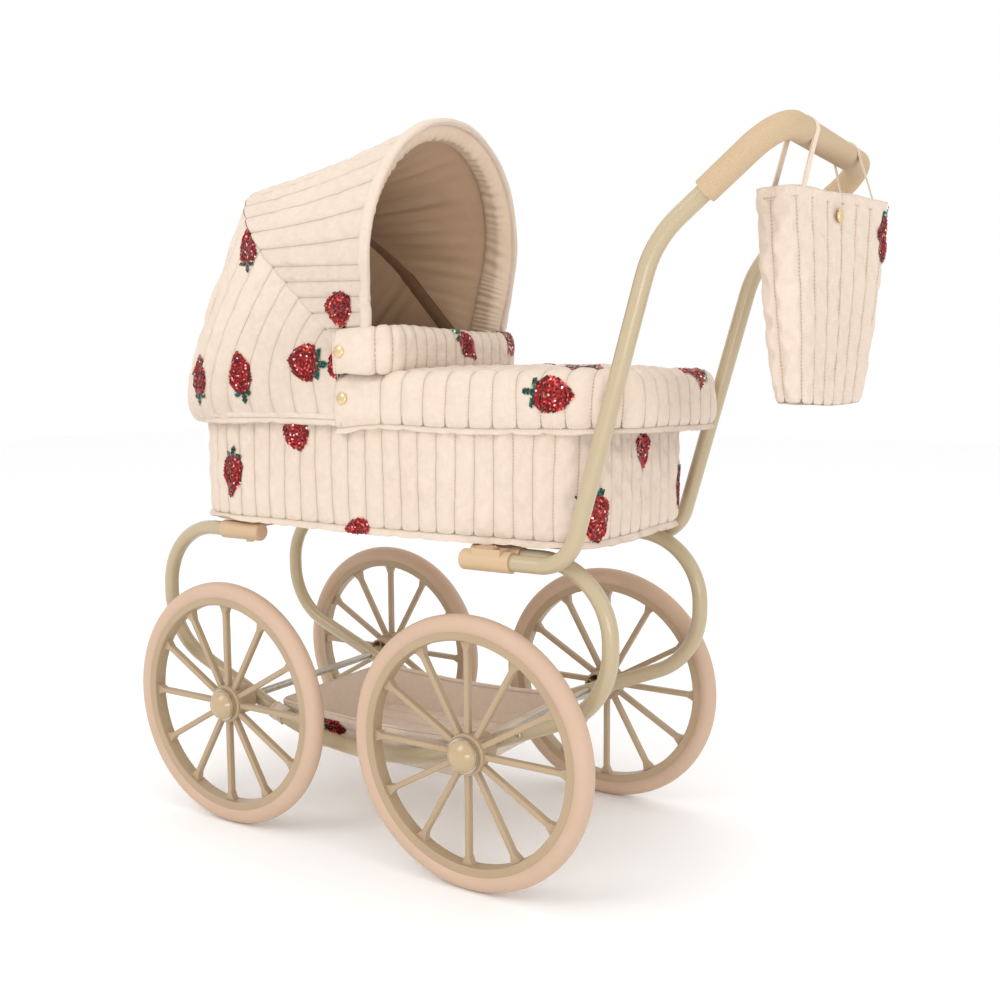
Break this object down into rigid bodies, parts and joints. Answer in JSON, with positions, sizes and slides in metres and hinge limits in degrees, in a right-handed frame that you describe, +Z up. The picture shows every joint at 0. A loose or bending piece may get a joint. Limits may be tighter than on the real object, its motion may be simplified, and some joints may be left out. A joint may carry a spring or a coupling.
{
  "type": "doll's pram",
  "caption": "Doll's pram: quilted carrycot with folding hood and apron on a sprung tube chassis, large spoked wheels, push handle, hanging bag and under-basket.",
  "frame": {"origin": "bottom centre of the bounding box, on the floor", "axes": "+X forward, the way the pram is pushed, the hood end; +Y to the left; +Z up; wheels spin about Y"},
  "size_m": [0.7179, 0.3116, 0.7021],
  "materials": {
    "tyre": "satin rubber",
    "wheel": "satin moulded plastic",
    "cap": "gloss",
    "steel": "bright",
    "frame": "gloss powder coat",
    "clamp": "satin",
    "grip": "matt foam",
    "quilt": "quilted cotton",
    "board": "raw",
    "mattress": "padded",
    "stud": "pale polished"
  },
  "bodies": {
    "chassis": {"cot_shell": "quilt", "cot_base_board": "board", "mattress": "mattress", "cot_rim_frame": "frame", "lower_bow_left": "frame", "lower_bow_right": "frame", "spring_front_left": "frame", "spring_front_right": "frame", "spring_rear_left": "frame", "spring_rear_right": "frame", "spring_plugs": "frame", "front_axle": "steel", "rear_axle": "steel", "axle_spacers": "frame", "axle_washers": "steel", "hub_caps": "cap", "front_clamp_left": "clamp", "front_clamp_right": "clamp", "rear_clamp_left": "clamp", "rear_clamp_right": "clamp", "front_crossmember": "clamp", "rear_crossmember": "clamp", "handle_tube": "frame", "handle_grip": "grip", "hood_brackets": "clamp", "hood_pivot_pins": "steel", "apron": "quilt", "cuff": "quilt", "cot_snaps": "stud", "basket": "quilt", "basket_snaps": "stud"},
    "hood_mid": {"hood_mid_bow": "frame", "hood_back_cover": "quilt"},
    "hood_front": {"hood_front_bow": "frame", "hood_top_cover": "quilt"},
    "hanging_bag": {"bag": "quilt", "bag_straps": "quilt", "bag_snap": "stud"},
    "wheel_front_left": {"wheel_front_left": "wheel", "tyre_front_left": "tyre"},
    "button_front_left": {"snap_button_front_left": "steel"},
    "wheel_front_right": {"wheel_front_right": "wheel", "tyre_front_right": "tyre"},
    "button_front_right": {"snap_button_front_right": "steel"},
    "wheel_rear_left": {"wheel_rear_left": "wheel", "tyre_rear_left": "tyre"},
    "button_rear_left": {"snap_button_rear_left": "steel"},
    "wheel_rear_right": {"wheel_rear_right": "wheel", "tyre_rear_right": "tyre"},
    "button_rear_right": {"snap_button_rear_right": "steel"},
    "tab_left": {"release_tab_left": "clamp"},
    "tab_right": {"release_tab_right": "clamp"}
  },
  "joints": [
    {"name": "wheel_front_left_spin", "type": "hinge", "parent": "chassis", "child": "wheel_front_left", "pos_m": [0.21913, 0.136, 0.125], "axis": [0, 1, 0], "continuous": true},
    {"name": "button_front_left_press", "type": "slide", "parent": "chassis", "child": "button_front_left", "axis": [0, -1, 0], "range_m": [0, 0.0025], "stiffness_N_per_m": 400, "springref_m": -0.001},
    {"name": "wheel_front_right_spin", "type": "hinge", "parent": "chassis", "child": "wheel_front_right", "pos_m": [0.21913, -0.136, 0.125], "axis": [0, 1, 0], "continuous": true},
    {"name": "button_front_right_press", "type": "slide", "parent": "chassis", "child": "button_front_right", "axis": [0, 1, 0], "range_m": [0, 0.0025], "stiffness_N_per_m": 400, "springref_m": -0.001},
    {"name": "wheel_rear_left_spin", "type": "hinge", "parent": "chassis", "child": "wheel_rear_left", "pos_m": [-0.07607, 0.136, 0.125], "axis": [0, 1, 0], "continuous": true},
    {"name": "button_rear_left_press", "type": "slide", "parent": "chassis", "child": "button_rear_left", "axis": [0, -1, 0], "range_m": [0, 0.0025], "stiffness_N_per_m": 400, "springref_m": -0.001},
    {"name": "wheel_rear_right_spin", "type": "hinge", "parent": "chassis", "child": "wheel_rear_right", "pos_m": [-0.07607, -0.136, 0.125], "axis": [0, 1, 0], "continuous": true},
    {"name": "button_rear_right_press", "type": "slide", "parent": "chassis", "child": "button_rear_right", "axis": [0, 1, 0], "range_m": [0, 0.0025], "stiffness_N_per_m": 400, "springref_m": -0.001},
    {"name": "release_tab_left_slide", "type": "slide", "parent": "chassis", "child": "tab_left", "axis": [-1, 0, 0], "range_m": [0, 0.006]},
    {"name": "release_tab_right_slide", "type": "slide", "parent": "chassis", "child": "tab_right", "axis": [-1, 0, 0], "range_m": [0, 0.006]},
    {"name": "hood_fold", "type": "hinge", "parent": "chassis", "child": "hood_mid", "pos_m": [0.07653, 0, 0.478], "axis": [0, 1, 0], "range_deg": [0, 30], "deforming": ["hood_back_cover"]},
    {"name": "hood_front_fold", "type": "hinge", "parent": "hood_mid", "child": "hood_front", "pos_m": [0.07653, 0, 0.478], "axis": [0, 1, 0], "range_deg": [0, 42], "deforming": ["hood_top_cover"]},
    {"name": "bag_swing", "type": "hinge", "parent": "chassis", "child": "hanging_bag", "pos_m": [-0.34047, 0, 0.641], "axis": [0, 1, 0], "range_deg": [-22, 35]}
  ],
  "couplings": [
    {"joint": "hood_front_fold", "follows": "hood_fold", "ratio": 1.4}
  ]
}
